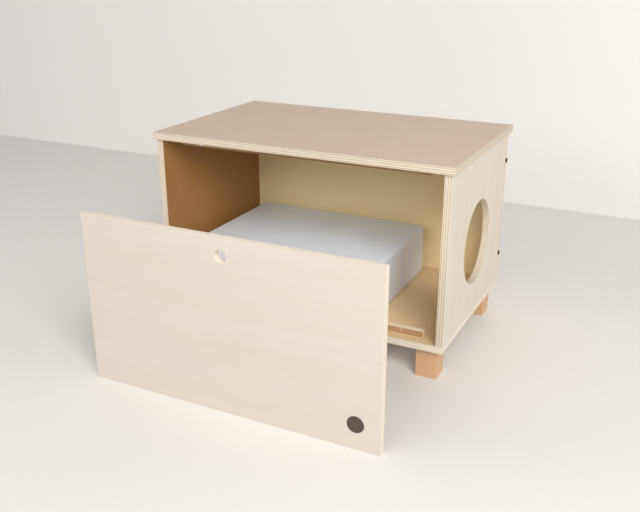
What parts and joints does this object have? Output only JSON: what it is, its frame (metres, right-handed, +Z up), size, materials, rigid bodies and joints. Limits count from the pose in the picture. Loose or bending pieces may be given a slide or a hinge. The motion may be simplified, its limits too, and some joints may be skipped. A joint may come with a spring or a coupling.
{
  "type": "cat litter box cabinet",
  "caption": "Plywood cabinet on wooden legs that hides a covered cat litter tray, with a round entrance in one side and a magnet-held front panel.",
  "frame": {"origin": "on the floor, in the middle of the footprint that the cabinet and the front panel stood in front of it cover together", "axes": "+X to the cabinet's right, the side with the cat entrance; +Y to its back; +Z up"},
  "size_m": [0.816, 0.8446, 0.542],
  "materials": {
    "birch_plywood": "matt clear varnish on a birch face, layers showing at the edges",
    "laminated_plywood": "smooth matt brown laminate on the upper face, bare birch layers at the edges",
    "batten_wood": "brown laminate in front, bare birch layers above and below",
    "beech": "oiled",
    "dowel_wood": "plain",
    "grey_plastic": "satin moulded",
    "dark_badge": "satin",
    "bright_steel": "zinc plated",
    "black_steel": "black oxide"
  },
  "bodies": {
    "cabinet": {"bottom_panel": "birch_plywood", "top_panel": "laminated_plywood", "left_side_panel": "birch_plywood", "right_side_panel": "birch_plywood", "back_panel": "birch_plywood", "upper_batten": "batten_wood", "lower_batten": "batten_wood", "upper_catch_magnets": "bright_steel", "lower_catch_magnets": "bright_steel", "upper_batten_screws": "bright_steel", "lower_batten_screws": "bright_steel", "front_left_leg": "beech", "front_right_leg": "beech", "rear_left_leg": "beech", "rear_right_leg": "beech", "leg_hanger_bolts": "bright_steel", "leg_threaded_inserts": "bright_steel", "side_top_dowels": "dowel_wood", "back_panel_dowels": "dowel_wood", "bottom_screws": "bright_steel", "left_back_bolts": "black_steel", "right_back_bolts": "black_steel"},
    "loose_front": {"front_panel": "birch_plywood", "panel_badge": "dark_badge", "strike_discs": "bright_steel"},
    "tray": {"litter_tray": "grey_plastic"},
    "tray_cover": {"litter_tray_cover": "grey_plastic"}
  },
  "joints": [
    {"name": "front_panel_carry", "type": "slide", "parent": "cabinet", "child": "loose_front", "axis": [-0.0238, 0.9553, 0.2946], "range_m": [0, 0.336]},
    {"name": "tray_lift", "type": "slide", "parent": "cabinet", "child": "tray", "axis": [0, 0, 1], "range_m": [0, 0.12]},
    {"name": "cover_lift", "type": "slide", "parent": "tray", "child": "tray_cover", "axis": [0, 0, 1], "range_m": [0, 0.15]}
  ]
}
